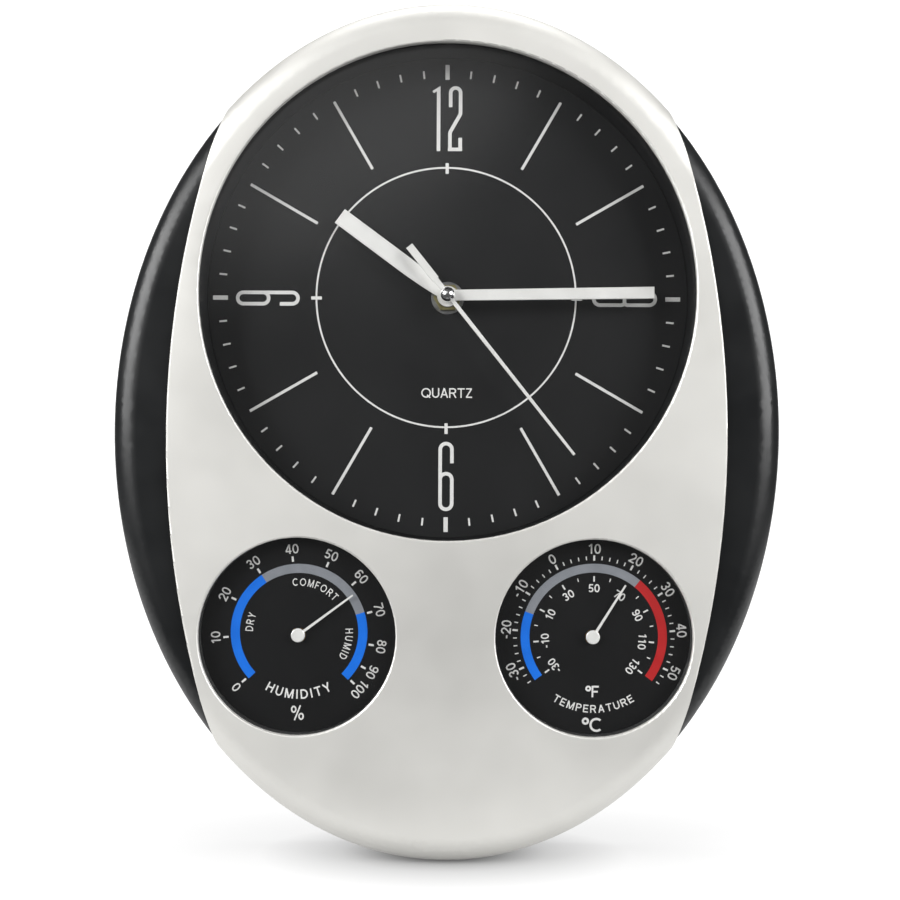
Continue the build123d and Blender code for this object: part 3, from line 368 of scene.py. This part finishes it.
# plain grotesque letters for a flat pen, as shares of the capital's height: width, then the strokes.
# A stroke is a line (x, y, x, y) or a path (x, y, heading, moves)
penLetters = {
    "0": (0.65, [(0.07, 0.5, 0, ovalMoves(0.255, 0.43, 0.2))]),
    "1": (0.58, [(0.38, 0, 0.38, 1), (0.13, 0.75, 0.38, 0.93)]),
    "2": (0.65, [(0.08, 0.69, 0, [("bend", 0.245, 222), ("go", 0.56)]), (0.03, 0.07, 0.62, 0.07)]),
    "3": (0.65, [(0.097, 0.775, 15, [("bend", 0.21, 255)]),
                 (0.26, 0.51, 90, [("go", 0.04), ("bend", 0.222, 250)])]),
    "4": (0.65, [(0.42, 0.96, 0.07, 0.3), (0.02, 0.26, 0.63, 0.26), (0.46, 0, 0.46, 1)]),
    "5": (0.65, [(0.12, 0.93, 0.58, 0.93), (0.17, 0.96, 0.11, 0.44),
                 (0.116, 0.464, 40, [("bend", 0.24, 290)])]),
    "6": (0.65, [(0.085, 0.31, 0, [("bend", 0.24, 360)]),
                 (0.085, 0.31, 0, [("go", 0.38), ("bend", 0.24, 145)])]),
    "7": (0.65, [(0.04, 0.93, 0.61, 0.93), (0.24, 0, 12, [("bend", 1.9, 29)])]),
    "8": (0.65, [(0.13, 0.73, 0, [("bend", 0.195, 360)]), (0.09, 0.3, 0, [("bend", 0.235, 360)])]),
    "9": (0.65, [(0.565, 0.69, 180, [("bend", 0.24, 360)]),
                 (0.565, 0.69, 180, [("go", 0.38), ("bend", 0.24, 145)])]),
    "-": (0.36, [(0.03, 0.37, 0.33, 0.37)]),
    "A": (0.80, [(0.07, 0, 0.40, 0.99), (0.73, 0, 0.40, 0.99), (0.18, 0.32, 0.62, 0.32)]),
    "C": (0.86, [(0.761, 0.188, 228, [("bend", 0.42, 264)])]),
    "D": (0.80, [(0.07, 0, 0.07, 1), (0.07, 0.93, 90, [("go", 0.24), ("bend", 0.43, 180), ("go", 0.24)])]),
    "E": (0.66, [(0.07, 0, 0.07, 1), (0.07, 0.93, 0.64, 0.93), (0.07, 0.51, 0.59, 0.51),
                 (0.07, 0.07, 0.66, 0.07)]),
    "F": (0.62, [(0.07, 0, 0.07, 1), (0.07, 0.93, 0.62, 0.93), (0.07, 0.49, 0.54, 0.49)]),
    "H": (0.76, [(0.07, 0, 0.07, 1), (0.69, 0, 0.69, 1), (0.07, 0.51, 0.69, 0.51)]),
    "I": (0.14, [(0.07, 0, 0.07, 1)]),
    "M": (0.94, [(0.07, 0, 0.07, 1), (0.87, 0, 0.87, 1), (0.09, 0.98, 0.47, 0.02), (0.85, 0.98, 0.47, 0.02)]),
    "O": (1.0, [(0.07, 0.5, 0, [("bend", 0.43, 360)])]),
    "P": (0.70, [(0.07, 0, 0.07, 1), (0.07, 0.93, 90, [("go", 0.33), ("bend", 0.225, 180), ("go", 0.33)])]),
    "Q": (1.0, [(0.07, 0.5, 0, [("bend", 0.43, 360)]), (0.6, 0.3, 0.92, 0.0)]),
    "R": (0.76, [(0.07, 0, 0.07, 1), (0.07, 0.93, 90, [("go", 0.37), ("bend", 0.22, 180), ("go", 0.37)]),
                 (0.42, 0.49, 0.70, 0)]),
    "T": (0.74, [(0.0, 0.93, 0.74, 0.93), (0.37, 0, 0.37, 0.95)]),
    "U": (0.76, [(0.07, 1, 180, [("go", 0.62), ("bend", 0.31, -180), ("go", 0.62)])]),
    "Y": (0.78, [(0.06, 1, 0.39, 0.42), (0.72, 1, 0.39, 0.42), (0.39, 0.46, 0.39, 0)]),
    "Z": (0.68, [(0.05, 0.93, 0.64, 0.93), (0.60, 0.92, 0.08, 0.08), (0.03, 0.07, 0.66, 0.07)]),
    "%": (0.96, [(0.05, 0.75, 0, ovalMoves(0.155, 0.2, 0.12)), (0.60, 0.25, 0, ovalMoves(0.155, 0.2, 0.12)),
                 (0.26, -0.03, 0.70, 1.03)]),
    "o": (0.48, [(0.06, 0.76, 0, [("bend", 0.18, 360)])]),
}


def addLetter(bm, letter, place, weight):
    for index, (x1, y1, x2, y2) in enumerate(penLetters[letter][1]):
        if isinstance(y2, list):
            heading, moves = x2, y2
        else:
            heading = degrees(atan2(x2 - x1, y2 - y1))
            moves = [("go", ((x2 - x1) ** 2 + (y2 - y1) ** 2) ** 0.5)]
        penStroke(bm, (x1, y1), heading, moves, weight, place @ shifted((0, 0), letterStep * index))


def wordWidth(text, gap):
    return sum(penLetters[letter][0] for letter in text) + gap * (len(text) - 1)


def addText(bm, text, height, place, stretch=1.0, weight=0.14, gap=0.1):
    # letters whose middle lies at the origin of place, height in mm, weight and gap as shares of it
    spot = -wordWidth(text, gap) / 2
    size = Matrix.Diagonal((height * stretch, height, height, 1))
    for letter in text:
        addLetter(bm, letter, place @ size @ shifted((spot, -0.5)), weight)
        spot += penLetters[letter][0] + gap


def atTurn(radius, turn, flip=False):
    # the place of a mark at a clockwise angle, its top outward, or inward when flipped
    place = Matrix.Rotation(-radians(turn), 4, "Z") @ shifted((0, radius))
    return place @ Matrix.Rotation(pi, 4, "Z") if flip else place


def addArcText(bm, text, height, radius, middle, spread, flip=False, stretch=1.0, weight=0.14, gap=0.2):
    # letters along a circle, their outer edges at middle - spread and middle + spread degrees
    whole = wordWidth(text, gap)
    side = -1 if flip else 1
    spot = 0
    for letter in text:
        own = penLetters[letter][0]
        share = (spot + own / 2 - whole / 2) / (whole / 2)
        addText(bm, letter, height, atTurn(radius, middle + share * spread * side, flip), stretch, weight)
        spot += own + gap


def finishPrint(name, bm, material, body, height, spot, turn=0.0):
    # turns every stroke's face to the viewer, gives the ink its small thickness and lays it on the dial
    bmesh.ops.reverse_faces(bm, faces=[face for face in bm.faces if face.normal.z < 0])
    base = bm.faces[:]
    made = bmesh.ops.extrude_face_region(bm, geom=base, use_keep_orig=True)["geom"]
    bmesh.ops.translate(bm, verts=vertsOf(made), vec=(0, 0, inkThick))
    bmesh.ops.reverse_faces(bm, faces=base)
    bmesh.ops.transform(bm, matrix=facePlace(height, spot, turn), verts=bm.verts)
    bmesh.ops.recalc_face_normals(bm, faces=bm.faces)
    piece = addPiece(name, bm, material)
    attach(piece, body)


# clock dial print
clockPrint = {
    "shift": (-0.43, -0.11), "turn": -0.13, "stroke": 1.45,
    "ring": 52.6, "ringWidth": 0.70, "ringShift": (-0.20, 0.41),
    # marks: inner end, outer end, width
    "quarterBar": (88.7, 94.7, 1.74), "cross": (50.6, 54.9, 1.28), "hourLine": (60.5, 91.9, 1.12),
    "tick": (89.5, 92.6, 0.74),
    "twelve": {
        "foot": 59.8, "top": 86.2, "stemSide": -3.57, "headSpot": (-2.79, 86.2, 0),
        "headNormal": (-0.515, 0.857, 0), "flagSpot": (-5.80, 83.72), "flagHeading": 59, "flagLength": 3.1,
        "flagWidth": 1.05, "twoLeft": 1.30, "twoRight": 5.32, "twoTip": 77.6, "archRise": 83.41,
        "archRadius": 2.01, "neckRise": 75.3, "neckRadius": 1.6, "neckLean": 29.5, "tailSide": 1.06,
        "tailLength": 6.4,
        # the foot and its upturned end: right, up, width, height
        "footBars": ((3.13, 60.5, 5.8, 1.4), (5.22, 62.5, 1.5, 5.4)),
    },
    "six": {"corner": (-3.05, -86.2), "height": 28.1, "loop": 15.9, "hook": 8.7, "width": 6.2},
    "nine": {"corner": (2.9, 85.45), "height": 25.9, "loop": 14.0, "hook": 8.1, "width": 6.05},
    "three": {"corner": (-3.29, 58.95), "height": 26.4, "width": 6.4, "hook": 8.3, "notchRadius": 1.3,
              "notchRun": 1.8},
    "word": {"text": "QUARTZ", "height": 3.95, "weight": 0.135}, "wordSpot": (0.22, -38.3),
}


def numeralSix(bm, place, n, stroke):
    # a tall six: hook, arched top, long left side and a narrow loop, which ends inside the left side
    half = stroke / 2
    radius = (n["width"] - stroke) / 2
    right = n["width"] - half
    penStroke(bm, (right, n["height"] - n["hook"]), 0,
              [("go", n["hook"] - half - radius), ("bend", radius, -180),
               ("go", n["height"] - 2 * half - 2 * radius), ("bend", radius, -180),
               ("go", n["loop"] - 2 * half - 2 * radius)], stroke, place)
    penStroke(bm, (right, n["loop"] - half - radius), 0, [("bend", radius, -170)], stroke,
              place @ shifted((0, 0), strokeStep))


def numeralThree(bm, place, n, stroke):
    # two bowls that meet at a notch, the lower one mirrored from the upper
    half = stroke / 2
    middle = n["height"] / 2
    radius = (n["width"] - stroke) / 2
    moves = [("go", n["hook"] - half - radius), ("bend", radius, 180),
             ("go", middle - half - radius - n["notchRadius"]), ("bend", n["notchRadius"], 90),
             ("go", n["notchRun"])]
    for flip, lift in ((1, strokeStep), (-1, 0)):
        penStroke(bm, (half, middle - n["hook"]), 0, moves, stroke,
                  place @ shifted((0, middle), lift) @ Matrix.Diagonal((1, flip, 1, 1)))


def numeralTwelve(bm, n, stroke):
    # a stem with a slanted head and flag, and a tall two with a square foot
    stem = bmesh.new()
    penStroke(stem, (n["stemSide"], n["foot"]), 0, [("go", n["top"] - n["foot"])], stroke)
    bmesh.ops.bisect_plane(stem, geom=stem.verts[:] + stem.edges[:] + stem.faces[:], plane_co=n["headSpot"],
                           plane_no=n["headNormal"], clear_outer=True)
    addShape(bm, stem)
    penStroke(bm, n["flagSpot"], n["flagHeading"], [("go", n["flagLength"])], n["flagWidth"],
              shifted((0, 0), strokeStep))
    radius, lean = n["neckRadius"], n["neckLean"]
    slope = (n["twoRight"] - n["tailSide"] - 2 * radius * (1 - cos(radians(lean)))) / sin(radians(lean))
    penStroke(bm, (n["twoLeft"], n["twoTip"]), 0,
              [("go", n["archRise"] - n["twoTip"]), ("bend", n["archRadius"], 180),
               ("go", n["archRise"] - n["neckRise"]), ("bend", radius, lean), ("go", slope),
               ("bend", radius, -lean), ("go", n["tailLength"])], stroke)
    for step, (right, up, width, height) in enumerate(n["footBars"], 1):
        addBar(bm, right, up, width, height, lift=strokeStep * step)


def clockDialPrint():
    p = clockPrint
    bm = bmesh.new()
    ring = bmesh.new()
    addArc(ring, p["ring"] - p["ringWidth"] / 2, p["ring"] + p["ringWidth"] / 2, 0, 360)
    bmesh.ops.remove_doubles(ring, verts=ring.verts, dist=mergeMm)
    addShape(bm, ring, shifted(p["ringShift"]))
    for minute in range(60):
        if minute % 15 == 0:
            marks = ("quarterBar", "cross")
        else:
            marks = ("hourLine",) if minute % 5 == 0 else ("tick",)
        for mark in marks:
            addMark(bm, p[mark], minute * 6, 2 * strokeStep)
    stroke = p["stroke"]
    numeralTwelve(bm, p["twelve"], stroke)
    numeralSix(bm, shifted(p["six"]["corner"]), p["six"], stroke)
    nine = Matrix.Rotation(pi / 2, 4, "Z") @ shifted(p["nine"]["corner"]) @ Matrix.Rotation(pi, 4, "Z")
    numeralSix(bm, nine, p["nine"], stroke)
    three = Matrix.Rotation(-pi / 2, 4, "Z") @ shifted(p["three"]["corner"])
    numeralThree(bm, three, p["three"], stroke)
    addText(bm, place=shifted(p["wordSpot"]), **p["word"])
    spot = moved(hub, p["shift"])
    finishPrint("clock_print", bm, printWhite, "case", dialFace, spot, p["turn"])


clockDialPrint()
print("clock dial printed")

# gauge dial prints
humidityPrint = {
    "shift": (0.25, 1.1), "band": (23.5, 27.1), "mark": (28.0, 30.1, 0.8),
    "numberRadius": 33.1, "numberHeight": 3.75, "numberWeight": 0.145,
    # clockwise angles of 0, 10 and so on to 100 %: the scale closes up at its end
    "turns": (-131.6, -94.2, -63.2, -33.6, -5.3, 22.5, 48.0, 74.0, 99.7, 118.4, 132.8),
    # radius, middle and half of its spread in degrees
    "zones": (("COMFORT", 19.9, 19.9, 28.0), ("DRY", 19.8, -78.5, 10.8), ("HUMID", 19.9, 103.5, 18.5)),
    "zoneHeight": 3.0, "zoneStretch": 0.8,
    "title": {"text": "HUMIDITY", "height": 3.7, "radius": 24.6, "middle": 180, "spread": 30, "flip": True,
              "stretch": 0.95, "weight": 0.165, "gap": 0.4},
    "sign": {"text": "%", "height": 5.6, "stretch": 0.95, "weight": 0.11}, "signSpot": (-0.45, -32.0),
    "bands": (("blue", bandBlue, ((-133, -33.6), (72.6, 134))), ("grey", bandGrey, ((-33.6, 72.6),))),
}
temperaturePrint = {
    "shift": (0.5, 0), "band": (25.5, 29.0),
    "celsius": {"range": (-34, 55, 2), "top": 10, "turn": 2.85, "longEvery": 10, "numberFrom": 0,
                "long": (30.2, 32.3, 0.76), "short": (30.5, 32.0, 0.43),
                "radius": 34.9, "height": 3.9, "weight": 0.15},
    "fahrenheit": {"range": (-30, 131, 10), "top": 50, "turn": 31.67 / 20, "longEvery": 20, "numberFrom": -30,
                   "long": (21.9, 24.0, 0.62), "short": (22.6, 24.0, 0.40),
                   "radius": 19.3, "height": 3.15, "weight": 0.16},
    "title": {"text": "TEMPERATURE", "height": 3.05, "radius": 28.6, "middle": 180, "spread": 33,
              "flip": True, "weight": 0.155},
    "signs": (("oF", 4.5, -21.7), ("oC", 5.6, -34.9)), "signSide": -0.5, "signWeight": 0.155, "signGap": 0.06,
    "bands": (("blue", bandBlue, ((-126.7, -70),)), ("grey", bandGrey, ((-70, 39),)),
              ("red", bandRed, ((39, 126.9),))),
}


def finishGauge(gauge, bm, p):
    # the white print, then the coloured bands, each a piece of its own
    spot = moved(gaugeSpots[gauge], p["shift"])
    finishPrint(gauge + "_print", bm, printWhite, "case", gaugeFace, spot)
    for colour, ink, spans in p["bands"]:
        bm = bmesh.new()
        for start, end in spans:
            addArc(bm, *p["band"], start, end)
        finishPrint(gauge + "_band_" + colour, bm, ink, "case", gaugeFace, spot)


def humidityDialPrint():
    p = humidityPrint
    bm = bmesh.new()
    for step, turn in enumerate(p["turns"]):
        addMark(bm, p["mark"], turn)
        place = atTurn(p["numberRadius"], turn)
        addText(bm, str(step * 10), p["numberHeight"], place, weight=p["numberWeight"])
    for text, radius, middle, spread in p["zones"]:
        addArcText(bm, text, p["zoneHeight"], radius, middle, spread, stretch=p["zoneStretch"])
    addArcText(bm, **p["title"])
    addText(bm, place=shifted(p["signSpot"]), **p["sign"])
    finishGauge("humidity", bm, p)


def temperatureDialPrint():
    p = temperaturePrint
    bm = bmesh.new()
    for scale in (p["celsius"], p["fahrenheit"]):
        for degree in range(*scale["range"]):
            turn = (degree - scale["top"]) * scale["turn"]
            isLong = (degree - scale["numberFrom"]) % scale["longEvery"] == 0
            addMark(bm, scale["long"] if isLong else scale["short"], turn)
            if isLong:
                place = atTurn(scale["radius"], turn)
                addText(bm, str(degree), scale["height"], place, weight=scale["weight"])
    addArcText(bm, **p["title"])
    for text, height, up in p["signs"]:
        addText(bm, text, height, shifted((p["signSide"], up)), weight=p["signWeight"], gap=p["signGap"])
    finishGauge("temperature", bm, p)


humidityDialPrint()
temperatureDialPrint()
print("gauge dials printed")

# large moulded shells, shaded smooth
sharpFrom = 28  # degrees: an edge that turns more stays sharp
smoothCopy("front_bezel", "bezel_shell", bezelLacquer, "case", sharpFrom)
smoothCopy("rear_body", "case_shell", caseAbs, "case", sharpFrom)
print("shells smoothed")

# floor, lights, camera
photoSide = 900  # pixels
sensorWidth = 36  # mm
studio = {
    "floorZ": -0.3110, "floorFront": -0.105, "floorBack": 0.55, "sweep": 0.3, "wallTop": 0.41,
    "halfWidth": 0.75, "cameraSpot": (0.0, -0.540, -0.1632), "cameraRoll": -0.38, "focalPx": 1278.5,
    "shiftPx": (3.6, 40.6), "middle": (0, -0.03, -0.14), "world": 0.10,
}
# painted glow, none at the clock's foot so that it paints a contact shadow there: its strength at the clock's
# foot, at shares of the reach, and beyond the reach
backdrop = {
    "grey": 0.2, "roughness": 0.9, "specular": 0.1, "forward": 0.03, "depthScale": 1.6, "reach": 0.27,
    "glowAtFootPaintedShadow": 0.0, "paintedShadowGlowSteps": ((0.067, 0.12), (0.155, 0.42), (0.28, 0.68)), "glowBeyondPaintedShadow": 0.94,
}
# shape, spot, what it points at, width and height in metres, watts
softboxes = {
    "keyLeft": ("RECTANGLE", (-1.22, -0.74, 0.35), studio["middle"], (1.15, 0.85), 39.5),
    "fillRight": ("RECTANGLE", (1.22, -0.74, 0.31), studio["middle"], (1.15, 0.85), 34.5),
    "topBehind": ("RECTANGLE", (0.0, 0.10, 0.95), (0, 0.0, -0.3), (0.9, 0.5), 5.5),
    "dialSheen": ("ELLIPSE", (-0.25, -1.2, 0.52), (0, -0.04, -0.09), (0.78, 0.78), 0.78),
}


def grey(level):
    return (level, level, level, 1)


def backdropMaterial():
    # matt card with a painted glow: it glows more away from the clock and not at its foot, so the grey
    # contact shadow there is partly cast by the lamps and partly painted by the missing glow
    paper = bpy.data.materials.new("paleBackdrop")
    paper.use_nodes = True
    shader = paper.node_tree.nodes["Principled BSDF"]
    shader.inputs["Base Color"].default_value = grey(backdrop["grey"])
    shader.inputs["Roughness"].default_value = backdrop["roughness"]
    shader.inputs["Specular IOR Level"].default_value = backdrop["specular"]
    shader.inputs["Emission Color"].default_value = grey(1)
    coords = addNode(paper, "ShaderNodeTexCoord")
    placed = addNode(paper, "ShaderNodeMapping",
                     {"Location": (0, backdrop["forward"], -studio["floorZ"]),
                      "Scale": (1, backdrop["depthScale"], 1)},
                     {"Vector": coords.outputs["Object"]})
    away = addNode(paper, "ShaderNodeVectorMath", {"operation": "LENGTH"}, {0: placed.outputs["Vector"]})
    share = addNode(paper, "ShaderNodeMapRange", {"From Max": backdrop["reach"]},
                    {"Value": away.outputs["Value"]})
    # this ramp paints the contact shadow: no glow at the foot, rising to nearly full glow beyond the reach
    glow = addNode(paper, "ShaderNodeValToRGB", {}, {"Fac": share.outputs["Result"]})
    steps = glow.color_ramp.elements
    steps[0].color = grey(backdrop["glowAtFootPaintedShadow"])
    steps[1].color = grey(backdrop["glowBeyondPaintedShadow"])
    for place, level in backdrop["paintedShadowGlowSteps"]:
        steps.new(place).color = grey(level)
    paper.node_tree.links.new(glow.outputs["Color"], shader.inputs["Emission Strength"])
    return paper


def makeFloor():
    # a pale sweep: flat floor, quarter bend, upright wall
    s = studio
    bm = bmesh.new()
    left = bm.verts.new((-s["halfWidth"], s["floorFront"], s["floorZ"]))
    right = bm.verts.new((s["halfWidth"], s["floorFront"], s["floorZ"]))
    made = bmesh.ops.extrude_edge_only(bm, edges=[bm.edges.new((left, right))])["geom"]
    bmesh.ops.translate(bm, verts=vertsOf(made), vec=(0, s["floorBack"] - s["floorFront"], 0))
    edge = farEdge(made)
    made = bmesh.ops.spin(bm, geom=[edge.verts[0], edge.verts[1], edge],
                          cent=(0, s["floorBack"], s["floorZ"] + s["sweep"]), axis=(1, 0, 0), dvec=(0, 0, 0),
                          angle=pi / 2, steps=24, use_merge=False, use_duplicate=False)["geom_last"]
    made = bmesh.ops.extrude_edge_only(bm, edges=[farEdge(made)])["geom"]
    bmesh.ops.translate(bm, verts=vertsOf(made), vec=(0, 0, s["wallTop"]))
    for face in bm.faces:
        face.smooth = True
    addPiece("studio_sweep", bm, backdropMaterial())


def addSoftbox(name, shape, spot, target, size, power):
    lamp = bpy.data.lights.new(name, "AREA")
    lamp.shape = shape
    lamp.size, lamp.size_y = size
    lamp.energy = power
    holder = bpy.data.objects.new(name, lamp)
    holder.location = spot
    holder.rotation_euler = (Vector(target) - Vector(spot)).to_track_quat("-Z", "Y").to_euler()
    bpy.context.scene.collection.objects.link(holder)


makeFloor()
for name, values in softboxes.items():
    addSoftbox(name, *values)
world = bpy.data.worlds.new("studio")
bpy.context.scene.world = world
world.use_nodes = True
world.node_tree.nodes["Background"].inputs["Color"].default_value = grey(1)
world.node_tree.nodes["Background"].inputs["Strength"].default_value = studio["world"]
bpy.context.scene.view_settings.view_transform = "Standard"
bpy.context.scene.view_settings.look = "None"

cameraData = bpy.data.cameras.new("camera")
cameraData.sensor_fit = "HORIZONTAL"
cameraData.sensor_width = sensorWidth
cameraData.lens = studio["focalPx"] / photoSide * sensorWidth
cameraData.shift_x, cameraData.shift_y = (pixels / photoSide for pixels in studio["shiftPx"])
cameraData.clip_start = 0.01
camera = bpy.data.objects.new("camera", cameraData)
camera.location = studio["cameraSpot"]
camera.rotation_euler = (pi / 2, radians(studio["cameraRoll"]), 0)
bpy.context.scene.collection.objects.link(camera)
bpy.context.scene.camera = camera
print("studio set")
